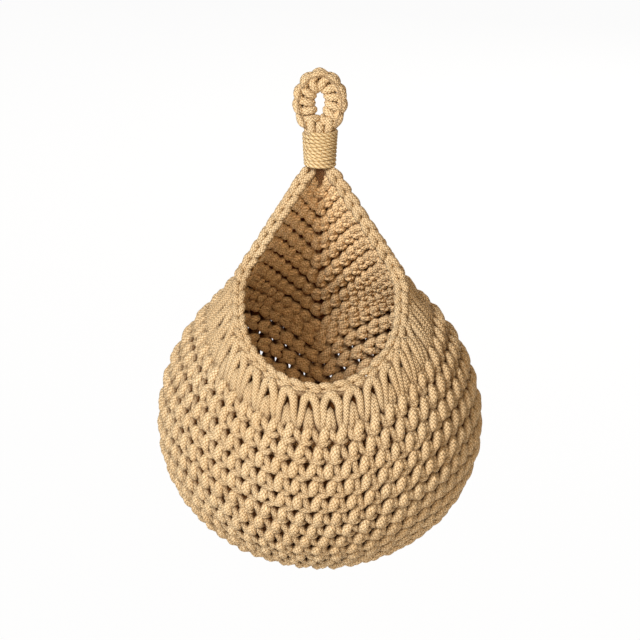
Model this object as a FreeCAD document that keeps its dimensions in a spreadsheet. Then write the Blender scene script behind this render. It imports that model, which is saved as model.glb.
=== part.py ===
"""Hanging fruit basket: a teardrop crocheted from thick braided cord.

The origin is the middle of the hanging loop's eye. +Z is up and the mouth faces -Y.
The belly is a ball with a flattened bottom, and the hood is a cone from the shoulders
up to the neck. Every round and row of crochet is a solid of its own.
"""
import FreeCAD
import Part
import math
import os
from FreeCAD import Vector

# Driving sizes: name, value in millimetres, degrees or a count, and what it measures.
SIZES = [
    ("belly_radius", 98.4, "outside of the belly at its widest"),
    ("belly_depth", 89.5, "widest level down to the bottom"),
    ("tip_rise", 159.5, "widest level up to the lower neck pivot"),
    ("tip_radius", 9.0, "hood radius at the lower neck pivot"),
    ("hood_foot_angle", 52.7, "elevation where the hood cone leaves the belly"),
    ("hood_fillet", 3.0, "softness of the hollow between belly and hood"),
    ("wall", 9.0, "thickness of the crochet"),
    ("ridge", 1.2, "how far a course bulges past its seams"),
    ("course_gap", 0.4, "room between neighbouring courses"),
    ("centre_hole", 2.0, "radius of the drawn-up ring's hole"),
    ("round_count", 15, "rounds between the centre ring and the lip"),
    ("lip_row_height", 18.0, "height of the lip round at the front"),
    ("lip_angle", 25.6, "elevation of the mouth's lowest point"),
    ("shoulder_angle", 60.0, "elevation of the mouth's two shoulders"),
    ("valley_height", 36.0, "foot of the back's V above the widest level"),
    ("back_row_count", 7, "V rows on the back hood"),
    ("back_row_pitch", 13.8, "V row spacing down the middle of the back"),
    ("crown_drop", 5.0, "top of the crown below the lower neck pivot"),
    ("crown_bore", 2.5, "radius of the crown's opening, where its cords draw together"),
    ("rim_cord", 7.0, "width of the mouth's braided edging"),
    ("rim_top_drop", 9.0, "upper ends of the edging below the neck pivot"),
    ("rim_turn", 8.0, "height that the edging takes to turn up a shoulder"),
    ("rim_turn_azimuth", 76.0, "azimuth where the edging leaves the lip for a shoulder"),
    ("neck_length", 24.0, "length of the whipped neck"),
    ("neck_top_radius", 11.0, "outside of the whipping at its top"),
    ("neck_foot_radius", 9.8, "outside of the whipping at its foot"),
    ("whip_cord", 2.25, "thickness of the whipping cord"),
    ("whip_turns", 8, "turns of the whipping cord"),
    ("whip_clearance", 0.3, "whipping cord to neck core"),
    ("knuckle_top", 5.0, "radius of the neck core's upper end"),
    ("knuckle_foot", 7.0, "radius of the neck core's lower end"),
    ("knuckle_clearance", 0.4, "neck core's ends to their seats"),
    ("eye_rise", 16.0, "top of the neck up to the middle of the eye"),
    ("eye_width", 8.0, "width of the hanging loop's eye"),
    ("eye_height", 16.5, "height of the hanging loop's eye"),
    ("loop_band", 8.6, "loop's stitches, from the eye outwards"),
    ("loop_thickness", 10.0, "loop's stitches, front to back"),
    ("loop_foundation", 5.0, "foundation cord inside the loop"),
    ("loop_edge_cord", 3.6, "chain along the loop's outer edge"),
    ("loop_seam", 0.2, "loop's stitches to their foundation cord"),
    ("loop_edge_gap", 0.4, "loop's stitches to the chain along their edge"),
    ("loop_foot_gap", 2.6, "loop's feet above the whipping"),
    ("loop_foot_parting", 0.6, "room between the loop's two feet"),
]

# Sections round half a course, arcs along half the lip, and points along each arc of the winding.
AZIMUTH_STEPS = 16
EDGE_STEPS = 6
TURN_SAMPLES = 24

# Room for the winding's straight ends, beyond its first and last turn, in cord thicknesses.
WINDING_END_ROOM = 0.55

doc = FreeCAD.newDocument("HangingBasket")
sheet = doc.addObject("Spreadsheet::Sheet", "sizes")
for line, (alias, value, meaning) in enumerate(SIZES, start=1):
    sheet.set(f"A{line}", alias)
    sheet.set(f"B{line}", str(value))
    sheet.set(f"C{line}", meaning)
    sheet.setAlias(f"B{line}", alias)
doc.recompute()


def size(alias):
    """One driving size, read from the sheet."""
    return float(sheet.get(alias))


WALL = size("wall")
RIDGE = size("ridge")
NECK_TOP = -size("eye_rise")
NECK_FOOT = NECK_TOP - size("neck_length")
BELLY_LEVEL = NECK_FOOT - size("tip_rise")

parts = []


def keep(shape_object, label):
    """Give a finished piece its name and put it on the list of sub-parts."""
    shape_object.Label = label
    parts.append(shape_object)


def add_shape(shape, label):
    """A sub-part whose shape is a loft or a pipe."""
    feature = doc.addObject("Part::Feature", label)
    feature.Shape = shape
    feature.Placement = FreeCAD.Placement()
    return feature


# The outer skin, in a half plane through the basket's axis.

def hood_slope():
    """How fast the hood cone widens, going down from the neck."""
    foot = math.radians(size("hood_foot_angle"))
    width = size("belly_radius") * math.cos(foot) - size("tip_radius")
    return width / (size("tip_rise") - size("belly_radius") * math.sin(foot))


def reach(elevation):
    """Distance from the belly's middle to the skin, towards an elevation in degrees."""
    angle = math.radians(elevation)
    depth = size("belly_radius") if elevation > 0 else size("belly_depth")
    ball = 1 / math.hypot(math.cos(angle) / size("belly_radius"), math.sin(angle) / depth)
    foot = size("hood_foot_angle")
    if elevation < foot / 2:
        return ball
    cone_width = size("tip_radius") + hood_slope() * size("tip_rise")
    cone = cone_width / (math.cos(angle) + hood_slope() * math.sin(angle))
    window = max(0.0, 1 - ((elevation - foot) / (foot / 2)) ** 2) ** 2
    apart = abs(ball - cone)
    hollow = (math.hypot(apart, size("hood_fillet") * window) - apart) / 2
    return (ball if elevation < foot else cone) + hollow


def profile(elevation, depth=0.0):
    """Radius and height above the belly's middle, at a depth under the skin."""
    step = 0.05
    low = [reach(elevation - step) * trig(math.radians(elevation - step)) for trig in (math.cos, math.sin)]
    high = [reach(elevation + step) * trig(math.radians(elevation + step)) for trig in (math.cos, math.sin)]
    along = math.hypot(high[0] - low[0], high[1] - low[1])
    radius = (low[0] + high[0]) / 2 - depth * (high[1] - low[1]) / along
    height = (low[1] + high[1]) / 2 + depth * (high[0] - low[0]) / along
    return radius, height


def skin_point(azimuth, elevation, depth):
    """A point under the skin. Azimuth 0 is the front, and 90 the right side."""
    radius, height = profile(elevation, depth)
    turn = math.radians(azimuth)
    return Vector(radius * math.sin(turn), -radius * math.cos(turn), BELLY_LEVEL + height)


# The lines between courses.

def v_slope():
    """Slope of the back's V rows, so that the lowest one meets the mouth's shoulder."""
    radius, height = profile(size("shoulder_angle"))
    return (height - size("valley_height")) / radius


def v_elevation(centre_height, slope, azimuth):
    """Elevation where a V row's line crosses an azimuth: height = centre + slope * |x|."""
    low, high = 0.0, 89.0
    for _ in range(40):
        middle = (low + high) / 2
        radius, height = profile(middle)
        if height < centre_height + slope * radius * abs(math.sin(math.radians(azimuth))):
            low = middle
        else:
            high = middle
    return (low + high) / 2


def top_elevation(azimuth, sharpness=1.0):
    """Upper edge of the last full round: the mouth in front, the foot of the V behind.

    Lower down on the back the V is softened into a saddle, as sharpness goes to nothing.
    """
    valley = v_elevation(size("valley_height"), 0, azimuth)
    low = size("lip_angle") if azimuth <= 90 else valley
    saddle = low + (size("shoulder_angle") - low) * math.sin(math.radians(azimuth)) ** 2
    if azimuth <= 90:
        return saddle
    return saddle + sharpness * (v_elevation(size("valley_height"), v_slope(), azimuth) - saddle)


def round_elevation(share, azimuth):
    """Elevation of a round's edge, at a share of the way from the bottom to the mouth."""
    return -90 + share * (top_elevation(azimuth, share) + 90)


def seam(elevation):
    """Half the room between two courses, as degrees of elevation."""
    return math.degrees(size("course_gap") / 2 / reach(elevation))


def course_section(azimuth, low, high):
    """Outline of a course between two elevations, bulged inside and outside."""
    low += seam(low)
    high -= seam(high)
    middle = (low + high) / 2
    outer_low = skin_point(azimuth, low, RIDGE)
    outer_high = skin_point(azimuth, high, RIDGE)
    inner_low = skin_point(azimuth, low, WALL - RIDGE)
    inner_high = skin_point(azimuth, high, WALL - RIDGE)
    return Part.Wire([
        Part.Arc(outer_low, skin_point(azimuth, middle, 0), outer_high).toShape(),
        Part.LineSegment(outer_high, inner_high).toShape(),
        Part.Arc(inner_high, skin_point(azimuth, middle, WALL), inner_low).toShape(),
        Part.LineSegment(inner_low, outer_low).toShape(),
    ])


def both_sides(sections):
    """Loft one side of a course, mirror it across the middle and join the two."""
    half = Part.makeLoft(sections, True, False)
    return half.fuse(half.mirror(Vector(0, 0, 0), Vector(1, 0, 0)))


def azimuths(first):
    """Even azimuths from the first one to the middle of the back."""
    return [first + (180 - first) * step / AZIMUTH_STEPS for step in range(AZIMUTH_STEPS + 1)]


def full_round(low_share, high_share):
    """A closed round between two shares of the way up to the mouth."""
    return both_sides([
        course_section(azimuth, round_elevation(low_share, azimuth), round_elevation(high_share, azimuth))
        for azimuth in azimuths(0)
    ])


def build_belly():
    """The centre ring, the rounds of the belly and the tall lip round."""
    front_sweep = size("lip_angle") + 90
    hole_share = math.degrees(size("centre_hole") / size("belly_depth")) / front_sweep
    lip_share = 1 - math.degrees(size("lip_row_height") / size("belly_radius")) / front_sweep
    count = int(size("round_count"))
    edges = [lip_share * course / (count + 1) for course in range(count + 2)]
    keep(add_shape(full_round(hole_share, edges[1]), "centre_ring"), "centre_ring")
    for course in range(1, count + 1):
        label = f"body_round_{course:02d}"
        keep(add_shape(full_round(edges[course], edges[course + 1]), label), label)
    keep(add_shape(full_round(lip_share, 1.0), "lip_round"), "lip_round")


def build_back():
    """The V rows of the back hood, ending at the mouth's edge on both sides."""
    slope = v_slope()
    for row in range(int(size("back_row_count"))):
        low = size("valley_height") + row * size("back_row_pitch")
        high = low + size("back_row_pitch")
        sections = [
            course_section(azimuth, v_elevation(low, slope, azimuth), v_elevation(high, slope, azimuth))
            for azimuth in azimuths(90)
        ]
        label = f"back_row_{row + 1:02d}"
        keep(add_shape(both_sides(sections), label), label)


def crown_section(azimuth):
    """Outline of the crown: the V below, a level top, and the hood's skin outside."""
    foot_height = size("valley_height") + size("back_row_count") * size("back_row_pitch")
    low = v_elevation(foot_height, v_slope(), azimuth)
    low += seam(low)
    high = v_elevation(size("tip_rise") - size("crown_drop"), 0, azimuth)
    outer_low = skin_point(azimuth, low, RIDGE)
    inner_low = skin_point(azimuth, low, WALL - RIDGE)
    outer_high = skin_point(azimuth, high, RIDGE)
    turn = math.radians(azimuth)
    bore = size("crown_bore")
    inner_high = Vector(bore * math.sin(turn), -bore * math.cos(turn), outer_high.z)
    corners = [outer_low, outer_high, inner_high, inner_low, outer_low]
    return Part.makePolygon(corners)


def sphere_at(label, height, radius):
    """A ball on the neck's axis, its height and radius bound to the sheet."""
    ball = doc.addObject("Part::Sphere", label)
    ball.setExpression("Radius", radius)
    ball.setExpression("Placement.Base.z", height)
    return ball


def cut_piece(base, tool, label):
    """One piece with a seat or a bore taken out of it."""
    piece = doc.addObject("Part::Cut", label)
    piece.Base = base
    piece.Tool = tool
    keep(piece, label)


# Pipes: paths of arcs that meet smoothly.

def arc_beside(start, corner, end):
    """The arc that leaves start towards corner and reaches end from corner."""
    middle = (start + end) / 2
    half_chord = (end - start).Length / 2
    rise = corner - middle
    if rise.Length < 1e-6 * half_chord:
        return Part.LineSegment(start, end).toShape()
    bend = math.atan2(rise.Length, half_chord)
    crest = middle + rise * (half_chord * math.tan(bend / 2) / rise.Length)
    return Part.Arc(start, crest, end).toShape()


def biarc(start, start_way, end, end_way):
    """Two arcs from one point and direction to another."""
    chord = end - start
    both_ways = start_way + end_way
    spread = 2 * (1 - start_way.dot(end_way))
    pull = chord.dot(both_ways)
    if spread < 1e-9:
        arm = chord.dot(chord) / (2 * pull)
    else:
        arm = (math.sqrt(pull * pull + spread * chord.dot(chord)) - pull) / spread
    first_corner = start + start_way * arm
    last_corner = end - end_way * arm
    meeting = (first_corner + last_corner) / 2
    return [arc_beside(start, first_corner, meeting), arc_beside(meeting, last_corner, end)]


def pipe(edges, profile_edge):
    """A solid pipe along a path, its profile drawn at the path's start."""
    return Part.Wire(edges).makePipeShell([Part.Wire([profile_edge])], True, False)


def smooth_path(stations):
    """Arcs through stations of point and direction."""
    edges = []
    for (point, way), (next_point, next_way) in zip(stations, stations[1:]):
        edges += biarc(point, way, next_point, next_way)
    return edges


def round_pipe(edges, diameter):
    """A round solid pipe along a path."""
    first = edges[0]
    start = first.valueAt(first.FirstParameter)
    way = first.tangentAt(first.FirstParameter)
    return pipe(edges, Part.Circle(start, way, diameter / 2).toShape())


def beside(edges, distance):
    """The path that runs at a distance beside one in the plane of X and Z, on its left."""
    moved = []
    for edge in edges:
        points = []
        for share in (0, 0.5, 1):
            place = edge.FirstParameter + share * (edge.LastParameter - edge.FirstParameter)
            sideways = edge.tangentAt(place).cross(Vector(0, 1, 0))
            points.append(edge.valueAt(place) + sideways * distance)
        moved.append(Part.Arc(*points).toShape())
    return moved


def mirrored(stations):
    """Stations of a whole path from those of its right half, which starts at the middle."""
    left = [
        (Vector(-point.x, point.y, point.z), Vector(way.x, -way.y, -way.z))
        for point, way in reversed(stations[1:])
    ]
    return left + stations


def build_rim():
    """The braided edging: along the lip, up both shoulders and on to the neck."""
    stand_off = size("rim_cord") / 2 + size("course_gap")

    def edge_point(azimuth):
        return skin_point(azimuth, top_elevation(azimuth), WALL / 2)

    def lip_point(azimuth):
        edge = edge_point(azimuth)
        outwards = skin_point(azimuth, top_elevation(azimuth), 0) - edge
        along = edge_point(azimuth + 0.5) - edge_point(azimuth - 0.5)
        return edge + outwards.cross(along).normalize() * stand_off

    stations = []
    for step in range(EDGE_STEPS + 1):
        azimuth = size("rim_turn_azimuth") * step / EDGE_STEPS
        way = (lip_point(azimuth + 0.5) - lip_point(azimuth - 0.5)).normalize()
        stations.append((lip_point(azimuth), way))

    def side_point(height):
        radius = profile(v_elevation(height, 0, 90), WALL / 2)[0]
        return Vector(radius, -stand_off, BELLY_LEVEL + height)

    shoulder = profile(size("shoulder_angle"))[1] + size("rim_turn")
    top = size("tip_rise") - size("rim_top_drop")
    for height in (shoulder, top):
        way = (side_point(height + 0.5) - side_point(height - 0.5)).normalize()
        stations.append((side_point(height), way))
    rim = round_pipe(smooth_path(mirrored(stations)), size("rim_cord"))
    keep(add_shape(rim, "rim_chain"), "rim_chain")


def least_gap(edges, diameter, turn_length):
    """Least room between a winding's turns, from points along it."""
    points = []
    for edge in edges:
        points += edge.discretize(Number=TURN_SAMPLES)
    travelled = [0.0]
    for before, after in zip(points, points[1:]):
        travelled.append(travelled[-1] + (after - before).Length)
    least = min(
        (points[one] - points[other]).Length
        for one in range(len(points))
        for other in range(one)
        if travelled[one] - travelled[other] > turn_length / 2
    )
    return least - diameter


def build_neck():
    """The neck's core with its two rounded ends, and the cord wound round it."""
    core = doc.addObject("Part::Cone", "neck_bundle")
    inset = "sizes.whip_cord - sizes.whip_clearance"
    core.setExpression("Radius1", f"sizes.neck_foot_radius - {inset}")
    core.setExpression("Radius2", f"sizes.neck_top_radius - {inset}")
    core.setExpression("Height", "sizes.neck_length")
    core.setExpression("Placement.Base.z", "-sizes.eye_rise - sizes.neck_length")
    top = sphere_at("neck_top_end", "-sizes.eye_rise", "sizes.knuckle_top")
    foot = sphere_at("neck_foot_end", "-sizes.eye_rise - sizes.neck_length", "sizes.knuckle_foot")
    bundle = doc.addObject("Part::MultiFuse", "neck_core")
    bundle.Shapes = [core, top, foot]
    keep(bundle, "neck_core")

    cord = size("whip_cord")
    turns = int(size("whip_turns"))
    margin = cord * WINDING_END_ROOM
    span = size("neck_length") - 2 * margin
    foot_radius = size("neck_foot_radius") - cord / 2
    widening = size("neck_top_radius") - size("neck_foot_radius")

    def winding_point(turn):
        share = turn / turns
        radius = foot_radius + widening * share
        angle = 2 * math.pi * turn
        height = NECK_FOOT + margin + span * share
        return Vector(radius * math.sin(angle), radius * math.cos(angle), height)

    stations = []
    for quarter in range(4 * turns + 1):
        turn = quarter / 4
        way = (winding_point(turn + 0.001) - winding_point(turn - 0.001)).normalize()
        stations.append((winding_point(turn), way))
    start, start_way = stations[0]
    end, end_way = stations[-1]
    edges = [Part.LineSegment(start - start_way * cord, start).toShape()]
    edges += smooth_path(stations)
    edges.append(Part.LineSegment(end, end + end_way * cord).toShape())
    keep(add_shape(round_pipe(edges, cord), "neck_whipping"), "neck_whipping")
    gap = least_gap(edges, cord, 2 * math.pi * foot_radius)
    print(f"neck_whipping: {turns} turns, least gap to itself {gap:.3f} mm")


def loop_path():
    """The middle of the hanging loop's stitches, from its left foot to its right one."""
    outset = size("loop_band") / 2
    foot = NECK_TOP + size("loop_foot_gap")
    foot_side = size("loop_foot_parting") / 2 + outset
    right = [
        (Vector(0, 0, size("eye_height") / 2 + outset), Vector(1, 0, 0)),
        (Vector(size("eye_width") / 2 + outset, 0, 0), Vector(0, 0, -1)),
        (Vector(foot_side, 0, foot), Vector(0, 0, -1)),
    ]
    return smooth_path(mirrored(right))


def build_loop():
    """The hanging loop: foundation cord, stitches round it and a chain along its edge."""
    band = size("loop_band")
    thickness = size("loop_thickness")
    path = loop_path()
    core = round_pipe(path, size("loop_foundation"))
    bore = round_pipe(path, size("loop_foundation") + 2 * size("loop_seam"))
    start = path[0].valueAt(path[0].FirstParameter)
    sideways, forwards = Vector(1, 0, 0), Vector(0, 1, 0)
    long_axis, short_axis = sideways * (band / 2), forwards * (thickness / 2)
    if thickness > band:
        long_axis, short_axis = short_axis, long_axis
    stitches = pipe(path, Part.Ellipse(start + long_axis, start + short_axis, start).toShape())
    edge_set = band / 2 + size("loop_edge_gap") + size("loop_edge_cord") / 2
    edge = round_pipe(beside(path, edge_set), size("loop_edge_cord"))
    radius = "sizes.knuckle_top + sizes.knuckle_clearance"
    seat = sphere_at("loop_seat", "-sizes.eye_rise", radius)
    cut_piece(add_shape(core, "loop_foundation_cord"), seat, "loop_core")
    sleeve = doc.addObject("Part::Cut", "loop_sleeve")
    sleeve.Base = add_shape(stitches, "loop_stitches")
    sleeve.Tool = add_shape(bore, "loop_bore")
    cut_piece(sleeve, seat, "loop_cover")
    keep(add_shape(edge, "loop_edge_chain"), "loop_edge_chain")


def build_crown():
    """The last row, drawn together round the neck core's lower end."""
    solid = add_shape(both_sides([crown_section(azimuth) for azimuth in azimuths(90)]), "crown_row")
    radius = "sizes.knuckle_foot + sizes.knuckle_clearance"
    seat = sphere_at("crown_seat", "-sizes.eye_rise - sizes.neck_length", radius)
    cut_piece(solid, seat, "crown_gather")


def write_parts():
    """Check every object, then write each sub-part to its own file."""
    doc.recompute()
    for item in doc.Objects:
        if "Invalid" in item.State or "Error" in item.State:
            raise RuntimeError(f"{item.Name} failed: {item.State}")
    for piece in parts:
        if piece.Shape.isNull() or not piece.Shape.isValid() or not piece.Shape.Solids:
            raise RuntimeError(f"{piece.Label} has no valid solid")
    os.makedirs("parts", exist_ok=True)
    for piece in parts:
        piece.Shape.exportStep(f"parts/{piece.Label}.step")
        box = piece.Shape.BoundBox
        print(
            f"{piece.Label}: {len(piece.Shape.Solids)} solid, {piece.Shape.Volume / 1000:.2f} cm3, "
            f"z {box.ZMin:.1f} to {box.ZMax:.1f}"
        )


build_belly()
build_back()
build_crown()
build_rim()
build_neck()
build_loop()
write_parts()
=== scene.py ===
"""Hanging fruit basket, crocheted from thick cotton cord.

Every course of crochet is worked in cord along the same skin that the solids follow.
Sizes are in millimetres until a mesh is made, and the mesh is in metres.
"""

import logging
import math
from collections.abc import Callable, Sequence
from dataclasses import dataclass, field
from enum import Enum
from typing import Protocol

import bpy
import numpy as np
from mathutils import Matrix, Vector

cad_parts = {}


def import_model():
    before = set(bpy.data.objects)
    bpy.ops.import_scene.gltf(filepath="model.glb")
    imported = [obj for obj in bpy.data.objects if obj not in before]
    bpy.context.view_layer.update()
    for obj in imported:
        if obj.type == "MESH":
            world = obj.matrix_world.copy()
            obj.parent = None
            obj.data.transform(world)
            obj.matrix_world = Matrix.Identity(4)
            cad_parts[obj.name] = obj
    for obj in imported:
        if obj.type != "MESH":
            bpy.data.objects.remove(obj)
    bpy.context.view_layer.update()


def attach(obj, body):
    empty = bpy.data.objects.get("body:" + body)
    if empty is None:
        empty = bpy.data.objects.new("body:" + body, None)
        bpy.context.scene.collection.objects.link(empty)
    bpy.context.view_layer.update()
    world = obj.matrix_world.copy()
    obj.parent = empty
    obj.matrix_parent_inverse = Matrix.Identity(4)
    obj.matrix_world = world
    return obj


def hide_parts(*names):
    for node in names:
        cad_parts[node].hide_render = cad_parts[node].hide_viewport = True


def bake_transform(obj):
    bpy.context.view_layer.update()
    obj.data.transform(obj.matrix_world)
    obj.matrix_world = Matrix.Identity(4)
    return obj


LOG = logging.getLogger("basket")
MM = 0.001
TURN = 2 * math.pi
TINY = 1e-12

# Spans of azimuth in degrees: the front is at 0, and the right side at 90.
ALL_ROUND = (-180.0, 180.0)
FRONT_HALF = (-90.0, 90.0)
BACK_HALF = (90.0, 270.0)

# Heights between which the crown and the rim would turn from the basket's body to the neck's;
# bend_between does not read them.
SWAY_ROOM = (-54.0, -38.0)

# Points read on each stretch between two control points of a smooth cord.
SMOOTH = 4

# The mesh's own layers: the place along and round the cord, and the depth in the wall, by which the
# finishes paint shade and light.
CORD_MAP = "cord"
DEPTH_LAYER = "lay_depth"


class Lay(Enum):
    """How a cord's yarns slant: both ways in a braid, and one way in a twist.

    Each value names the sums of the places round and along the cord that its yarns follow.
    """

    BRAID = ("ADD", "SUBTRACT")
    TWIST = ("ADD",)


class Body(Enum):
    """The three bodies that the pieces ride on."""

    LOOP = "loop"
    NECK = "neck"
    BASKET = "basket"


class Slot(Enum):
    """The record's material slots."""

    BELLY = "belly_cord"
    HOOD = "hood_cord"
    RIM = "rim_cord"
    NECK = "neck_cord"
    WHIPPING = "whipping_cord"
    LOOP = "loop_cord"


def unit(vectors: np.ndarray) -> np.ndarray:
    """Rows of vectors brought to length 1."""
    return vectors / np.maximum(np.linalg.norm(vectors, axis=-1, keepdims=True), TINY)


def distances(path: np.ndarray) -> np.ndarray:
    """Distance travelled at each point of a path, from 0."""
    steps = np.linalg.norm(np.diff(path, axis=0), axis=1)
    return np.concatenate([[0.0], np.cumsum(steps)])


def read_rows(at: np.ndarray, lengths: np.ndarray, rows: np.ndarray) -> np.ndarray:
    """Rows read at some distances, where each row's own distance is in lengths."""
    return np.stack([np.interp(at, lengths, column) for column in rows.T], axis=-1)


def rounded(points: np.ndarray, samples: int = SMOOTH) -> np.ndarray:
    """Read a smooth curve through rows of points.

    Args:
        points: control rows, of any width.
        samples: rows read on each stretch between two controls.

    Returns:
        The rows of the curve, from the first control to the last.
    """
    before = np.vstack([2 * points[:1] - points[1:2], points[:-2]])
    after = np.vstack([points[2:], 2 * points[-1:] - points[-2:-1]])
    share = (np.arange(samples) / samples)[None, :, None]
    a, b, c, d = (rows[:, None, :] for rows in (before, points[:-1], points[1:], after))
    bent = (2 * a - 5 * b + 4 * c - d) * share**2 + (3 * b - 3 * c + d - a) * share**3
    curve = 0.5 * (2 * b + (c - a) * share + bent)
    return np.vstack([curve.reshape(-1, points.shape[1]), points[-1:]])


@dataclass(frozen=True)
class Skin:
    """The basket's outer skin: a ball with a flattened bottom, and a cone for the hood."""

    belly_radius: float = 98.4
    belly_depth: float = 89.5
    tip_rise: float = 159.5
    tip_radius: float = 9.0
    hood_foot_angle: float = 52.7
    hood_fillet: float = 3.0
    wall: float = 9.0
    lip_angle: float = 25.6
    shoulder_angle: float = 60.0
    steepest_angle: float = 89.0
    valley_height: float = 36.0
    belly_level: float = -199.5
    halvings: int = 30

    def hood_slope(self) -> float:
        """How fast the hood widens, going down from the neck.

        Returns:
            Millimetres of radius for each millimetre of height.
        """
        foot = math.radians(self.hood_foot_angle)
        width = self.belly_radius * math.cos(foot) - self.tip_radius
        return width / (self.tip_rise - self.belly_radius * math.sin(foot))

    def reach(self, elevation: np.ndarray) -> np.ndarray:
        """Measure from the belly's middle to the skin.

        Args:
            elevation: directions, in degrees above the middle.

        Returns:
            The distances, with the crease between ball and cone filled a little.
        """
        angle = np.radians(elevation)
        depth = np.where(elevation > 0, self.belly_radius, self.belly_depth)
        ball = 1 / np.hypot(np.cos(angle) / self.belly_radius, np.sin(angle) / depth)
        cone_width = self.tip_radius + self.hood_slope() * self.tip_rise
        above = np.maximum(angle, 0)
        cone = cone_width / (np.cos(above) + self.hood_slope() * np.sin(above))
        half = self.hood_foot_angle / 2
        window = np.maximum(0, 1 - ((elevation - self.hood_foot_angle) / half) ** 2) ** 2
        apart = np.abs(ball - cone)
        hollow = (np.hypot(apart, self.hood_fillet * window) - apart) / 2
        return np.where(elevation < self.hood_foot_angle, ball, cone) + hollow

    def profile(
        self, elevation: np.ndarray, depth: np.ndarray | float = 0.0
    ) -> tuple[np.ndarray, np.ndarray]:
        """Find the wall's section.

        Args:
            elevation: directions, in degrees above the belly's middle.
            depth: how far under the skin, square to it.

        Returns:
            The radii, and the heights above the belly's middle.
        """
        step = 0.05
        low, high = np.radians(elevation - step), np.radians(elevation + step)
        low_reach, high_reach = self.reach(elevation - step), self.reach(elevation + step)
        low_r, low_z = low_reach * np.cos(low), low_reach * np.sin(low)
        high_r, high_z = high_reach * np.cos(high), high_reach * np.sin(high)
        along = np.hypot(high_r - low_r, high_z - low_z)
        radius = (low_r + high_r) / 2 - depth * (high_z - low_z) / along
        height = (low_z + high_z) / 2 + depth * (high_r - low_r) / along
        return radius, height

    def point(
        self, azimuth: np.ndarray, elevation: np.ndarray, depth: np.ndarray | float
    ) -> np.ndarray:
        """Find places in the wall.

        Args:
            azimuth: degrees round from the front, towards the right side.
            elevation: degrees above the belly's middle.
            depth: how far under the skin.

        Returns:
            Rows of x, y and z.
        """
        radius, height = self.profile(elevation, depth)
        turn = np.radians(azimuth)
        level = self.belly_level + height
        return np.stack([radius * np.sin(turn), -radius * np.cos(turn), level], axis=-1)

    def v_slope(self) -> float:
        """Slope of the back's V rows, so that the lowest meets the mouth's shoulder."""
        radius, height = self.profile(np.array(self.shoulder_angle))
        return float((height - self.valley_height) / radius)

    def v_elevation(self, centre_height: float, slope: float, azimuth: np.ndarray) -> np.ndarray:
        """Find where a V row's line, height = centre + slope * |x|, crosses azimuths.

        Args:
            centre_height: the line's height at the back's middle.
            slope: how steeply it rises to both sides.
            azimuth: degrees round from the front.

        Returns:
            The elevations, in degrees.
        """
        low = np.zeros_like(azimuth, dtype=float)
        high = np.full_like(azimuth, self.steepest_angle, dtype=float)
        sideways = slope * np.abs(np.sin(np.radians(azimuth)))
        for _ in range(self.halvings):
            middle = (low + high) / 2
            radius, height = self.profile(middle)
            below = height < centre_height + sideways * radius
            low, high = np.where(below, middle, low), np.where(below, high, middle)
        return (low + high) / 2

    def top_elevation(self, azimuth: np.ndarray, sharpness: float = 1.0) -> np.ndarray:
        """Find the upper edge of the last full round.

        Args:
            azimuth: degrees round from the front.
            sharpness: 0 where the back dips in a saddle, and 1 where it dips in the V.

        Returns:
            The elevations of the mouth's lip in front and of the V's foot behind.
        """
        front = np.cos(np.radians(azimuth)) >= 0
        valley = self.v_elevation(self.valley_height, 0.0, azimuth)
        low = np.where(front, self.lip_angle, valley)
        saddle = low + (self.shoulder_angle - low) * np.sin(np.radians(azimuth)) ** 2
        sharp = self.v_elevation(self.valley_height, self.v_slope(), azimuth)
        return np.where(front, saddle, saddle + sharpness * (sharp - saddle))


SKIN = Skin()


@dataclass
class Course:
    """One round or row: a band on the skin between two lines, counted in stitches.

    Places in it are (along, up, out): along in stitches, up from 0 at the band's lower
    line to 1 at its upper one, and out in millimetres from the middle of the wall.
    """

    span: tuple[float, float]
    low: Callable[[np.ndarray], np.ndarray]
    high: Callable[[np.ndarray], np.ndarray]
    stitch_width: float
    samples: int = 241
    fewest: int = 6
    azimuths: np.ndarray = field(init=False)
    low_line: np.ndarray = field(init=False)
    high_line: np.ndarray = field(init=False)
    lengths: np.ndarray = field(init=False)
    count: int = field(init=False)
    closed: bool = field(init=False)

    def __post_init__(self) -> None:
        """Measure the band along its middle and share it out in whole stitches."""
        first, last = self.span
        self.closed = last - first >= 360
        self.azimuths = np.linspace(first, last, self.samples)
        self.low_line = self.low(self.azimuths)
        self.high_line = self.high(self.azimuths)
        middle = (self.low_line + self.high_line) / 2
        self.lengths = distances(SKIN.point(self.azimuths, middle, SKIN.wall / 2))
        self.count = max(self.fewest, round(self.lengths[-1] / self.stitch_width))

    def place(self, along: np.ndarray, up: np.ndarray, out: np.ndarray) -> np.ndarray:
        """Find places in space.

        Args:
            along: how far along the band, in stitches.
            up: the share of the way from its lower line to its upper one.
            out: millimetres outwards from the middle of the wall.

        Returns:
            Rows of x, y and z, in millimetres.
        """
        distance = along / self.count * self.lengths[-1]
        azimuth = np.interp(distance, self.lengths, self.azimuths)
        low = np.interp(azimuth, self.azimuths, self.low_line)
        high = np.interp(azimuth, self.azimuths, self.high_line)
        return SKIN.point(azimuth, low + (high - low) * up, SKIN.wall / 2 - out)


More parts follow.
